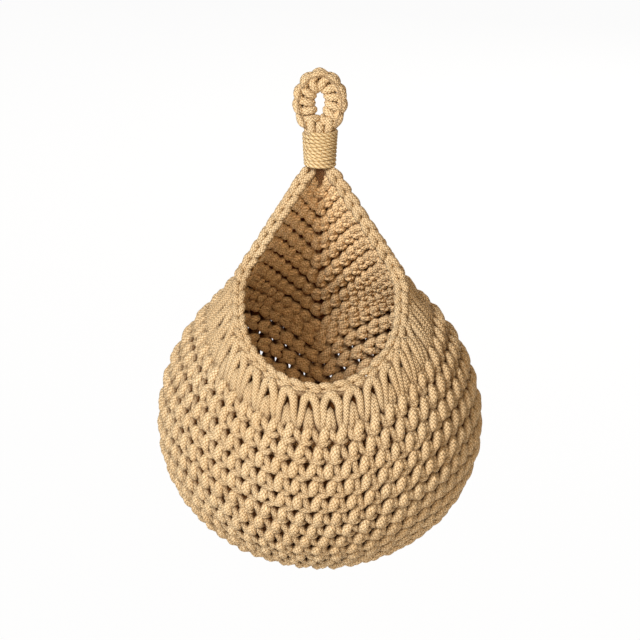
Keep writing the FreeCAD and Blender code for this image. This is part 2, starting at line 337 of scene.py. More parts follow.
@dataclass
class Ribbon:
    """A narrow band along an open line: places in it are (along, across, out).

    Along is counted in links, and across and out are in millimetres from the line.
    """

    path: np.ndarray
    across: np.ndarray
    outwards: np.ndarray
    link: float
    fewest: int = 2
    closed: bool = False
    lengths: np.ndarray = field(init=False)
    count: int = field(init=False)

    def __post_init__(self) -> None:
        """Measure the line and share it out in whole links."""
        self.lengths = distances(self.path)
        self.count = max(self.fewest, round(self.lengths[-1] / self.link))

    def place(self, along: np.ndarray, across: np.ndarray, out: np.ndarray) -> np.ndarray:
        """Find places in space.

        Args:
            along: how far along the line, in links.
            across: millimetres to the line's side.
            out: millimetres outwards from the line.

        Returns:
            Rows of x, y and z, in millimetres.
        """
        distance = along / self.count * self.lengths[-1]
        sideways = across[:, None] * read_rows(distance, self.lengths, self.across)
        proud = out[:, None] * read_rows(distance, self.lengths, self.outwards)
        return read_rows(distance, self.lengths, self.path) + sideways + proud


@dataclass
class Cordage:
    """Cord made into one mesh, tube by tube."""

    sides: int = 8
    corners: list[np.ndarray] = field(default_factory=list)
    faces: list[np.ndarray] = field(default_factory=list)
    ends: list[np.ndarray] = field(default_factory=list)
    maps: list[np.ndarray] = field(default_factory=list)
    depths: list[np.ndarray] = field(default_factory=list)
    total: int = 0

    def lay(
        self,
        path: np.ndarray,
        outwards: np.ndarray,
        radius: np.ndarray | float,
        out: np.ndarray | float,
    ) -> None:
        """Add one length of cord.

        Args:
            path: its middle line, in millimetres.
            outwards: the wall's outward direction, at each point or all along.
            radius: its half thickness, at each point or all along.
            out: how far it lies from the middle of the wall, at each point or all along; the finish
                paints shade by it.
        """
        rows, sides = len(path), self.sides
        outwards = np.broadcast_to(outwards, path.shape)
        way = unit(np.gradient(path, axis=0))
        side = unit(np.cross(way, outwards))
        up = np.cross(side, way)
        column = np.arange(sides)
        turn = (column * TURN / sides)[None, :, None]
        ring = np.cos(turn) * side[:, None, :] + np.sin(turn) * up[:, None, :]
        ring = ring * np.broadcast_to(radius, rows)[:, None, None]
        depth = np.broadcast_to(out, rows)[:, None] + np.einsum("ijk,ik->ij", ring, outwards)
        row = np.arange(rows - 1)[:, None] * sides
        here = row + column
        beside = row + (column + 1) % sides
        quads = np.stack([here, beside, beside + sides, here + sides], axis=-1)
        travelled = distances(path)[:, None]
        start = np.broadcast_to(travelled[:-1], here.shape)
        end = np.broadcast_to(travelled[1:], here.shape)
        first = np.broadcast_to(column / sides, here.shape)
        second = first + 1 / sides
        around = np.stack([first, second, second, first], axis=-1)
        along = np.stack([start, start, end, end], axis=-1)
        self.corners.append((path[:, None, :] + ring).reshape(-1, 3))
        self.depths.append(depth.reshape(-1))
        self.faces.append(quads.reshape(-1, 4) + self.total)
        self.maps.append(np.stack([around, along], axis=-1).reshape(-1, 2))
        self.ends.append(self.total + column[::-1])
        self.ends.append(self.total + (rows - 1) * sides + column)
        self.total += rows * sides

    def piece(self, name: str) -> bpy.types.Object:
        """Make the mesh.

        Args:
            name: the piece's name.

        Returns:
            The new object, linked to the scene and not yet dressed.
        """
        corners = np.vstack(self.corners) * MM
        quads = np.vstack(self.faces)
        caps = np.vstack(self.ends)
        loops = np.concatenate([quads.ravel(), caps.ravel()]).astype(np.int32)
        sizes = np.concatenate([np.full(len(quads), 4), np.full(len(caps), self.sides)])
        starts = np.concatenate([[0], np.cumsum(sizes)[:-1]]).astype(np.int32)
        mesh = bpy.data.meshes.new(name)
        mesh.vertices.add(len(corners))
        mesh.vertices.foreach_set("co", corners.astype(np.float32).ravel())
        mesh.loops.add(len(loops))
        mesh.loops.foreach_set("vertex_index", loops)
        mesh.polygons.add(len(sizes))
        mesh.polygons.foreach_set("loop_start", starts)
        mesh.update(calc_edges=True)
        mesh.polygons.foreach_set("use_smooth", np.ones(len(sizes), dtype=bool))
        spots = np.zeros((len(loops), 2), dtype=np.float32)
        spots[: quads.size] = np.vstack(self.maps)
        layer = mesh.uv_layers.new(name=CORD_MAP)
        layer.uv.foreach_set("vector", spots.ravel())
        shade = mesh.attributes.new(DEPTH_LAYER, "FLOAT", "POINT")
        shade.data.foreach_set("value", np.concatenate(self.depths).astype(np.float32))
        mesh.validate()
        made = bpy.data.objects.new(name, mesh)
        bpy.context.scene.collection.objects.link(made)
        return made


def linear(code: str) -> tuple[float, float, float, float]:
    """Turn an sRGB hex colour to linear numbers.

    Args:
        code: the colour, as # and six digits.

    Returns:
        Red, green and blue, and full alpha.
    """
    parts = [int(code[at : at + 2], 16) / 255 for at in (1, 3, 5)]
    red, green, blue = (c / 12.92 if c <= 0.04045 else ((c + 0.055) / 1.055) ** 2.4 for c in parts)
    return red, green, blue, 1.0


def add_node(
    tree: bpy.types.NodeTree, kind: str, settings: dict[str, object] | None = None, **inputs: object
) -> bpy.types.Node:
    """Add one node.

    Args:
        tree: the material's node tree.
        kind: the node's type.
        settings: properties to set on the node.
        **inputs: a socket's name, or i and its number, with a value, a socket to link, or a
            node whose first output is linked.

    Returns:
        The node.
    """
    node = tree.nodes.new(kind)
    for name, value in (settings or {}).items():
        setattr(node, name, value)
    for name, value in inputs.items():
        key = int(name[1:]) if name[0] == "i" and name[1:].isdigit() else name.replace("_", " ")
        source = value.outputs[0] if isinstance(value, bpy.types.Node) else value
        if isinstance(source, bpy.types.NodeSocket):
            tree.links.new(source, node.inputs[key])
        else:
            node.inputs[key].default_value = source
    return node


def seen(tree: bpy.types.NodeTree) -> bpy.types.NodeSocket:
    """Tell where a backdrop is looked at, and where it only gives light.

    Args:
        tree: the node tree of the floor or the sky.

    Returns:
        1 where the camera sees it, straight, in a gloss or through glass, and else 0.
    """
    rays = add_node(tree, "ShaderNodeLightPath")
    looked_at = rays.outputs["Is Camera Ray"]
    for name in ("Is Glossy Ray", "Is Transmission Ray"):
        larger = add_node(
            tree, "ShaderNodeMath", {"operation": "MAXIMUM"}, i0=looked_at, i1=rays.outputs[name]
        )
        looked_at = larger.outputs[0]
    return looked_at


@dataclass(frozen=True)
class CordFinish:
    """Undyed cotton cord, braided or twisted: matt, with slanted yarns and loose fibre.

    The yarns of a braid lie in two slanted sets that cross, which gives the eye small seeds
    of light, and those of a twist lie in one set, with painted shade in the grooves between
    yarns. Painted shade makes the cord darker and redder where it dives between its
    neighbours, and painted light makes it paler on the inside of the wall.

    The real yarns are finer than the render can show, so they are drawn as coarse as they
    need to be: yarns_round of them round the cord, each crossing its own width in
    yarn_length millimetres. Sizes and depths are in millimetres, and a depth is counted
    outwards from the middle of the wall.
    """

    name: str
    face: str
    pale: str
    shaded: str
    # Painted light: the paler colour of the wall's inside.
    inner: str = "#FFDEAE"
    # Painted shade: the darker colour between the yarns.
    groove_shade: str = "#B88A4E"
    lay: Lay = Lay.BRAID
    yarns_round: float = 9.0
    yarn_length: float = 2.0
    yarn_crest: float = 0.75
    relief: float = 0.5
    relief_strength: float = 0.9
    patch_size: float = 24.0
    fibre_size: float = 1.1
    fibre_range: tuple[float, float] = (0.3, 0.7)
    fibre_light: tuple[float, float] = (0.88, 1.08)
    # Painted shade: the depths between which the shaded colour gives way to the lit one.
    painted_shade_depths: tuple[float, float] = (0.6, 4.5)
    inner_depth: tuple[float, float] = (-0.5, -2.0)
    # Painted shade: how much sooner the shaded colour lets go on the inside of the wall.
    inside_shade_scale: float = 1.3
    roughness: float = 0.88
    specular: float = 0.12
    sheen: float = 0.06
    sheen_roughness: float = 0.5

    def dress(self, piece: bpy.types.Object) -> None:
        """Give a piece this finish."""
        piece.data.materials.append(self.material())

    def material(self) -> bpy.types.Material:
        """Make the material once, and then share it.

        Returns:
            The material.
        """
        found = bpy.data.materials.get(self.name)
        if found:
            return found
        made = bpy.data.materials.new(self.name)
        made.use_nodes = True
        tree = made.node_tree
        tree.nodes.clear()
        height = self.yarns(tree)
        colour = self.colour(tree, height)
        relief = add_node(
            tree,
            "ShaderNodeBump",
            Strength=self.relief_strength,
            Distance=self.relief * MM,
            Height=height,
        )
        shader = add_node(
            tree,
            "ShaderNodeBsdfPrincipled",
            Base_Color=colour,
            Roughness=self.roughness,
            Normal=relief,
            Specular_IOR_Level=self.specular,
            Sheen_Weight=self.sheen,
            Sheen_Tint=linear(self.pale),
            Sheen_Roughness=self.sheen_roughness,
        )
        add_node(tree, "ShaderNodeOutputMaterial", Surface=shader)
        return made

    def yarns(self, tree: bpy.types.NodeTree) -> bpy.types.NodeSocket:
        """Draw the yarns' height: slanted sets, over and under each other in turn.

        Args:
            tree: the material's node tree.

        Returns:
            The height, from 0 between two yarns to 1 on a yarn's crest.
        """
        spot = add_node(tree, "ShaderNodeUVMap", {"uv_map": CORD_MAP})
        split = add_node(tree, "ShaderNodeSeparateXYZ", Vector=spot)
        around = add_node(
            tree, "ShaderNodeMath", {"operation": "MULTIPLY"}, i0=split.outputs["X"], i1=self.yarns_round
        )
        along = add_node(
            tree, "ShaderNodeMath", {"operation": "DIVIDE"}, i0=split.outputs["Y"], i1=self.yarn_length
        )
        places = []
        crests = []
        for slant in self.lay.value:
            place = add_node(tree, "ShaderNodeMath", {"operation": slant}, i0=around, i1=along)
            phase = add_node(tree, "ShaderNodeMath", {"operation": "MULTIPLY"}, i0=place, i1=math.pi)
            wave = add_node(tree, "ShaderNodeMath", {"operation": "SINE"}, i0=phase)
            crests.append(add_node(tree, "ShaderNodeMath", {"operation": "ABSOLUTE"}, i0=wave))
            places.append(place)
        if self.lay is Lay.TWIST:
            return crests[0].outputs[0]
        cells = [add_node(tree, "ShaderNodeMath", {"operation": "FLOOR"}, i0=place) for place in places]
        crossings = add_node(tree, "ShaderNodeMath", {"operation": "ADD"}, i0=cells[0], i1=cells[1])
        over = add_node(tree, "ShaderNodeMath", {"operation": "FLOORED_MODULO"}, i0=crossings, i1=2.0)
        under = add_node(tree, "ShaderNodeMath", {"operation": "SUBTRACT"}, i0=1.0, i1=over)
        right = add_node(tree, "ShaderNodeMath", {"operation": "MULTIPLY"}, i0=crests[0], i1=over)
        left = add_node(tree, "ShaderNodeMath", {"operation": "MULTIPLY"}, i0=crests[1], i1=under)
        return add_node(tree, "ShaderNodeMath", {"operation": "MAXIMUM"}, i0=right, i1=left).outputs[0]

    def colour(self, tree: bpy.types.NodeTree, height: bpy.types.NodeSocket) -> bpy.types.NodeSocket:
        """Colour the cord: patchy cotton, with painted shade between its yarns and where it dives, and
        painted light on the inside of the wall.

        Args:
            tree: the material's node tree.
            height: the yarns' height.

        Returns:
            The colour.
        """
        # A mix of colours has its two colours on inputs 6 and 7, and its result on output 2.
        blend = {"data_type": "RGBA"}
        place = add_node(tree, "ShaderNodeTexCoord").outputs["Object"]
        patch = add_node(
            tree, "ShaderNodeTexNoise", Vector=place, Scale=1 / (self.patch_size * MM), Detail=3.0
        )
        fibre = add_node(
            tree, "ShaderNodeTexNoise", Vector=place, Scale=1 / (self.fibre_size * MM), Detail=2.0
        )
        depth = add_node(tree, "ShaderNodeAttribute", {"attribute_name": DEPTH_LAYER}).outputs["Fac"]
        outer = add_node(
            tree,
            "ShaderNodeMix",
            blend,
            Factor=patch.outputs["Fac"],
            i6=linear(self.face),
            i7=linear(self.pale),
        ).outputs[2]
        # Painted light: the inside of the wall is mixed towards the paler inner colour.
        turned_in = add_node(
            tree,
            "ShaderNodeMapRange",
            Value=depth,
            From_Min=self.inner_depth[0],
            From_Max=self.inner_depth[1],
        )
        cotton = add_node(
            tree, "ShaderNodeMix", blend, Factor=turned_in, i6=outer, i7=linear(self.inner)
        ).outputs[2]
        # Painted shade: the grooves between the yarns take the darker colour.
        ridge = add_node(
            tree, "ShaderNodeMapRange", Value=height, From_Min=0.0, From_Max=self.yarn_crest
        )
        yarn = add_node(
            tree, "ShaderNodeMix", blend, Factor=ridge, i6=linear(self.groove_shade), i7=cotton
        ).outputs[2]
        grain = add_node(
            tree,
            "ShaderNodeMapRange",
            Value=fibre.outputs["Fac"],
            From_Min=self.fibre_range[0],
            From_Max=self.fibre_range[1],
            To_Min=self.fibre_light[0],
            To_Max=self.fibre_light[1],
        )
        lit = add_node(tree, "ShaderNodeVectorMath", {"operation": "SCALE"}, i0=yarn, Scale=grain)
        # Painted shade: where the cord dives between its neighbours, the shaded colour is mixed in by
        # depth; on the inside of the wall it lets go sooner.
        inside = add_node(
            tree, "ShaderNodeMath", {"operation": "MULTIPLY"}, i0=depth, i1=-self.inside_shade_scale
        )
        proud = add_node(tree, "ShaderNodeMath", {"operation": "MAXIMUM"}, i0=depth, i1=inside)
        unshaded_share = add_node(
            tree,
            "ShaderNodeMapRange",
            {"interpolation_type": "SMOOTHSTEP"},
            Value=proud,
            From_Min=self.painted_shade_depths[0],
            From_Max=self.painted_shade_depths[1],
        )
        return add_node(
            tree, "ShaderNodeMix", blend, Factor=unshaded_share, i6=linear(self.shaded), i7=lit
        ).outputs[2]


# Braided cotton on the belly: pale straw with brown shade deep between the stitches.
BELLY_CORD = CordFinish("braided_cotton_belly", "#D8BA8E", "#EEDCB8", "#56310C", painted_shade_depths=(1.5, 4.7))
# Braided cotton on the hood: a little warmer, as painted shade for a wall mostly seen from its shaded
# inside, and with redder painted shade in the gaps that let light through.
HOOD_CORD = CordFinish("braided_cotton_hood", "#DCBC90", "#EED8B2", "#6E380A", painted_shade_depths=(0.2, 4.2))
# Braided cotton on the rim: as pale as the belly, and open to the light almost all over.
RIM_CORD = CordFinish("braided_cotton_rim", "#D8BA8E", "#EEDCB8", "#56310C", painted_shade_depths=(-2.6, 1.4))
# Braided cotton inside the neck: browner, as painted shade, because it is shut in by the whipping.
NECK_CORD = CordFinish("braided_cotton_neck", "#D0A672", "#E4C294", "#5A2A02")
# Braided cotton on the loop: the palest, because it stands clear in the light.
LOOP_CORD = CordFinish("braided_cotton_loop", "#DEC092", "#F0DEBA", "#56310C", painted_shade_depths=(-1.6, 2.0))
# Twisted cotton round the neck: even slanted yarns, and thin dark lines of painted shade between the
# turns.
WHIPPING_CORD = CordFinish(
    "twisted_cotton_whipping",
    "#D4BA8A",
    "#E8D8B2",
    "#6A3808",
    lay=Lay.TWIST,
    groove_shade="#C09250",
    yarns_round=4.0,
    yarn_length=3.0,
    painted_shade_depths=(1.6, 4.2),
)


@dataclass(frozen=True)
class PaperFinish:
    """White background paper, rolled smooth: it gives the eye an even, matt, pale ground."""

    name: str = "white_paper_floor"
    face: str = "#F4F4F4"
    glow: float = 0.96

    def dress(self, piece: bpy.types.Object) -> None:
        """Give a piece this finish."""
        piece.data.materials.append(self.material())

    def material(self) -> bpy.types.Material:
        """Make the paper, which looks white and still takes a faint shadow.

        Returns:
            The material.
        """
        made = bpy.data.materials.new(self.name)
        made.use_nodes = True
        tree = made.node_tree
        tree.nodes.clear()
        paper = add_node(tree, "ShaderNodeBsdfDiffuse", Color=linear(self.face))
        glow = add_node(tree, "ShaderNodeEmission", Color=linear("#FFFFFF"), Strength=1.0)
        share = add_node(tree, "ShaderNodeMath", {"operation": "MULTIPLY"}, i0=seen(tree), i1=self.glow)
        mixed = add_node(tree, "ShaderNodeMixShader", Fac=share, i1=paper, i2=glow)
        add_node(tree, "ShaderNodeOutputMaterial", Surface=mixed)
        return made


def settle(piece: bpy.types.Object, body: Body, node: str) -> None:
    """Put a piece on its body and hide the solid that it stands for.

    Args:
        piece: the finished object.
        body: what it moves with.
        node: the solid that it replaces.
    """
    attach(piece, body.value)
    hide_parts(node)


def bend_between(
    piece: bpy.types.Object, bodies: tuple[Body, Body], room: tuple[float, float], slot: Slot, *nodes: str
) -> None:
    """Bake a piece of cord's place into its mesh, and hide the solids that it replaces.

    Args:
        piece: the finished object.
        bodies: what it moves with before the room, and after it; not used.
        room: the heights, in millimetres, between which it turns; not used.
        slot: the record's material slot for it; not used.
        *nodes: the solids that it replaces.
    """
    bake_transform(piece)
    if nodes:
        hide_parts(*nodes)


# One stitch of cord: rows of along, up, out and thickness, from the left of the stitch to its right.
# A slender left leg and a fat right leg make a V. The front chain lies across the row above
# them, as a crescent between the feet of the next V's. The bar and the back chain slant
# against each other, and together make one ridge on the inside.
LEGS = np.array([
    (0.05, 0.88, -0.6, 0.78),
    (0.09, 0.68, 1.0, 0.92),
    (0.18, 0.40, 1.7, 0.98),
    (0.33, 0.14, 1.3, 0.92),
    (0.48, 0.00, -0.4, 0.78),
    (0.57, 0.08, 1.2, 0.96),
    (0.64, 0.28, 2.4, 1.14),
    (0.71, 0.53, 2.7, 1.18),
    (0.78, 0.75, 1.7, 1.06),
    (0.88, 0.92, -0.9, 0.78),
])
FRONT_CHAIN = np.array([
    (0.50, 1.10, -0.6, 0.70),
    (0.70, 1.04, 1.2, 0.82),
    (0.98, 0.97, 1.9, 0.90),
    (1.24, 1.02, 1.6, 0.86),
    (1.42, 1.09, 0.2, 0.74),
])
BACK_CHAIN = np.array([
    (0.00, 0.96, -0.3, 0.70),
    (0.22, 0.90, -2.1, 0.98),
    (0.50, 0.81, -2.5, 1.06),
    (0.78, 0.74, -1.2, 0.84),
])
BAR = np.array([
    (0.04, 0.42, -0.3, 0.70),
    (0.28, 0.48, -2.1, 1.00),
    (0.56, 0.57, -2.5, 1.08),
    (0.82, 0.65, -1.2, 0.84),
])

# The lip's tall stitch: an arch whose long legs lap over the round below, a lower arch inside
# it, a chain behind the arches' tops, and the plain stitch's back in fatter cord.
ARCH = np.array([
    (0.03, -0.27, 0.5, 0.74),
    (0.10, -0.08, 1.9, 0.86),
    (0.16, 0.24, 2.4, 0.96),
    (0.20, 0.64, 2.3, 1.10),
    (0.31, 0.91, 2.1, 1.26),
    (0.53, 0.99, 2.0, 1.30),
    (0.73, 0.90, 2.2, 1.28),
    (0.84, 0.62, 2.4, 1.12),
    (0.86, 0.22, 2.3, 0.98),
    (0.92, -0.10, 1.5, 0.86),
])
INNER_LOOP = np.array([
    (0.10, -0.10, -1.4, 0.68),
    (0.36, -0.22, 0.8, 0.82),
    (0.42, 0.10, 2.2, 0.96),
    (0.50, 0.52, 1.6, 0.88),
    (0.58, 0.12, 2.2, 0.96),
    (0.65, -0.20, 0.8, 0.82),
    (0.86, -0.10, -1.4, 0.68),
])
TOP_CHAIN = np.array([
    (0.00, 1.00, 0.9, 0.92),
    (0.50, 1.02, 0.7, 0.88),
])
FATTER = np.array((1.0, 1.0, 1.0, 1.3))
TALL_STITCH = (ARCH, INNER_LOOP, BACK_CHAIN * FATTER, BAR * FATTER, TOP_CHAIN)

# One link of a chain: rows of along, across, out and thickness. A slanted grain starts at the side
# and ends under the next one in the middle, and the grains of the other side lie a little ahead.
CHAIN_SIDE = np.array([
    (0.00, 1.7, -0.7, 0.84),
    (0.20, 1.8, 0.6, 1.00),
    (0.50, 1.4, 1.2, 1.08),
    (0.84, 0.8, 0.7, 0.96),
    (1.02, 0.5, -0.9, 0.80),
])
OTHER_SIDE = np.array((1, -1, 1, 1))
AHEAD = np.array((0.06, 0, 0, 0))
CHAIN = (CHAIN_SIDE, CHAIN_SIDE * OTHER_SIDE + AHEAD)

# The slip stitch at a shoulder: rows of azimuth, degrees above the mouth's edge, and out.
CORNER_STITCH = np.array([
    (79.0, -2.5, -1.0),
    (83.0, -0.6, 0.8),
    (87.0, 0.6, 1.4),
    (90.0, 2.6, 1.2),
    (92.0, 5.0, -0.5),
])


def single_crochet(inside_lift: float, chain_sink: float = 0.0) -> tuple[np.ndarray, ...]:
    """The plain stitch, with its inside ridge raised so that light comes through the wall.

    Args:
        inside_lift: how far the ridge sits above the V, as a share of the row.
        chain_sink: how far, in millimetres, the stitches above press the front chain in.

    Returns:
        The stitch's strands.
    """
    lift = np.array((0.0, inside_lift, 0.0, 0.0))
    sink = np.array((0.0, 0.0, chain_sink, 0.0))
    return LEGS, FRONT_CHAIN - sink, BACK_CHAIN + lift, BAR + lift


def wide_chain(spread: float) -> list[np.ndarray]:
    """The chain's two sides, drawn apart by a factor."""
    return [side * np.array((1, spread, 1, 1)) for side in CHAIN]


@dataclass
class CrochetWork:
    """Works courses in cord of one thickness, with a maker's small unevenness."""

    cord_radius: float = 2.7
    samples: int = 3
    unevenness: tuple[float, float, float, float] = (0.025, 0.03, 0.16, 0.03)
    seed: int = 7

    def work(
        self, cordage: Cordage, course: Course | Ribbon, stitch: Sequence[np.ndarray], phase: float = 0.0
    ) -> None:
        """Lay a course's strands.

        Args:
            cordage: the mesh to add to.
            course: the band to work along.
            stitch: the stitch's strands.
            phase: how far along, in stitches, the first one starts.
        """
        nudge = 0.5
        chance = np.random.default_rng(self.seed + round(100 * phase) + course.count)
        for strand in stitch:
            rows = np.tile(strand, (course.count, 1))
            rows[:, 0] += np.repeat(np.arange(course.count), len(strand))
            rows += chance.normal(size=rows.shape) * np.asarray(self.unevenness)
            along, up, out, thickness = rounded(rows, self.samples).T
            along = self.wrapped(along + phase, course)
            path = course.place(along, up, out)
            outwards = unit(course.place(along, up, out + nudge) - path)
            cordage.lay(path, outwards, thickness * self.cord_radius, out)

    @staticmethod
    def wrapped(along: np.ndarray, course: Course | Ribbon) -> np.ndarray:
        """Bring places past a closed course's end round to its start."""
        return np.mod(along, course.count) if course.closed else np.clip(along, 0, course.count)


class SubAssembly(Protocol):
    """What every sub-assembly can do."""

    def build(self) -> list[bpy.types.Object]:
        """Make the meshes."""

    def dress(self, pieces: Sequence[bpy.types.Object]) -> None:
        """Give the pieces their finishes and put them on their bodies."""


@dataclass
class Belly:
    """The rounds from the bottom's drawn-up ring to the mouth's lip.

    Each round starts a drift, in stitches, further round than the one below. The ridges on the
    inside sit a lift above their V's, as a share of the row. The lip's arches press the front
    chain of the last round in, and a slip stitch fills the corner at each shoulder.
    """

    round_count: int = 15
    lip_row_height: float = 18.0
    centre_hole: float = 2.0
    stitch_width: float = 10.4
    lip_stitch_width: float = 12.8
    corner_cord: float = 2.6
    corner_out: float = 1.6
    lip_press: float = 1.8
    inside_lift: float = 0.65
    plain_lifts: tuple[float, float] = (0.52, 0.39)
    drift: float = 0.37
    crochet: CrochetWork = field(default_factory=CrochetWork)
    lip_crochet: CrochetWork = field(default_factory=lambda: CrochetWork(2.4))

    def nodes(self) -> list[str]:
        """The solids that the rounds stand for, from the bottom to the lip."""
        rounds = [f"body_round_{at:02d}" for at in range(1, self.round_count + 1)]
        return ["centre_ring", *rounds, "lip_round"]

    def edges(self) -> list[float]:
        """Share out the rounds.

        Returns:
            Shares of the way from the bottom to the mouth, at each line between rounds.
        """
        whole = SKIN.lip_angle + 90
        lip = 1 - math.degrees(self.lip_row_height / SKIN.belly_radius) / whole
        hole = math.degrees(self.centre_hole / SKIN.belly_depth) / whole
        rounds = self.round_count + 1
        return [hole] + [lip * at / rounds for at in range(1, rounds + 1)] + [1.0]

    def course(self, low: float, high: float, span: tuple[float, float], width: float) -> Course:
        """Make the band between two shares of the way to the mouth.

        Args:
            low: the share at its lower line.
            high: the share at its upper line.
            span: the azimuths that it covers.
            width: the width of its stitches.

        Returns:
            The band.
        """

        def line(share: float) -> Callable[[np.ndarray], np.ndarray]:
            """Elevations of the line at one share."""
            return lambda azimuth: -90 + share * (SKIN.top_elevation(azimuth, share) + 90)

        return Course(span, line(low), line(high), width)

    def build(self) -> list[bpy.types.Object]:
        """Work every round.

        Returns:
            The rounds, from the bottom to the lip.
        """
        edges = self.edges()
        *rounds, lip = self.nodes()
        pieces = []
        for at, node in enumerate(rounds):
            cordage = Cordage()
            sink = self.lip_press if at == self.round_count else 0.0
            course = self.course(edges[at], edges[at + 1], ALL_ROUND, self.stitch_width)
            self.crochet.work(cordage, course, single_crochet(self.inside_lift, sink), self.drift * at)
            pieces.append(cordage.piece(f"{node}_stitches"))
        pieces.append(self.lip(edges[-2]).piece(f"{lip}_stitches"))
        return pieces

    def dress(self, pieces: Sequence[bpy.types.Object]) -> None:
        """Give each round its cord and hang it on the basket.

        Args:
            pieces: the rounds that build made.
        """
        for piece, node in zip(pieces, self.nodes(), strict=True):
            BELLY_CORD.dress(piece)
            settle(piece, Body.BASKET, node)

    def lip(self, low: float) -> Cordage:
        """Work the lip: tall arches under the mouth, and two plain rows behind.

        Args:
            low: the share of the way to the mouth at the lip's lower line.

        Returns:
            The lip's cords.
        """
        cordage = Cordage()
        arches = self.course(low, 1.0, FRONT_HALF, self.lip_stitch_width)
        self.lip_crochet.work(cordage, arches, TALL_STITCH)
        middle = (low + 1) / 2
        for foot, head, lift in zip((low, middle), (middle, 1.0), self.plain_lifts, strict=True):
            plain = self.course(foot, head, BACK_HALF, self.stitch_width)
            self.crochet.work(cordage, plain, single_crochet(lift))
        for side in (-1, 1):
            self.corner_stitch(cordage, side)
        return cordage

    def corner_stitch(self, cordage: Cordage, side: int) -> None:
        """Fill the corner of lip, hood and rim at one shoulder with a slip stitch.

        Args:
            cordage: the mesh to add to.
            side: 1 for the right shoulder, and -1 for the left.
        """
        around, above, out = CORNER_STITCH.T
        azimuth = side * around
        places = SKIN.point(azimuth, SKIN.top_elevation(azimuth) + above, SKIN.wall / 2 - out)
        path = rounded(places)
        cordage.lay(path, unit(path * np.array((1, 1, 0))), self.corner_cord, self.corner_out)


@dataclass
class Hood:
    """The mitred V rows of the back, up to the crown."""

    row_count: int = 7
    row_pitch: float = 13.8
    stitch_width: float = 10.4
    inside_lift: float = 0.26
    crochet: CrochetWork = field(default_factory=CrochetWork)

    def nodes(self) -> list[str]:
        """The solids that the rows stand for, from the lowest up."""
        return [f"back_row_{row:02d}" for row in range(1, self.row_count + 1)]

    def course(self, low: float, high: float) -> Course:
        """Make the band between two V lines, from the right rim round to the left one.

        Args:
            low: the height of the lower line's foot.
            high: the height of the upper line's foot.

        Returns:
            The band.
        """

        def line(height: float) -> Callable[[np.ndarray], np.ndarray]:
            """Elevations of the V line whose foot is at one height."""
            return lambda azimuth: SKIN.v_elevation(height, SKIN.v_slope(), azimuth)

        return Course(BACK_HALF, line(low), line(high), self.stitch_width)

    def build(self) -> list[bpy.types.Object]:
        """Work every V row.

        Returns:
            The rows, from the lowest up.
        """
        pieces = []
        for row, node in enumerate(self.nodes()):
            cordage = Cordage()
            low = SKIN.valley_height + row * self.row_pitch
            course = self.course(low, low + self.row_pitch)
            self.crochet.work(cordage, course, single_crochet(self.inside_lift))
            pieces.append(cordage.piece(f"{node}_stitches"))
        return pieces

    def dress(self, pieces: Sequence[bpy.types.Object]) -> None:
        """Give each row its cord and hang it on the basket.

        Args:
            pieces: the rows that build made.
        """
        for piece, node in zip(pieces, self.nodes(), strict=True):
            HOOD_CORD.dress(piece)
            settle(piece, Body.BASKET, node)


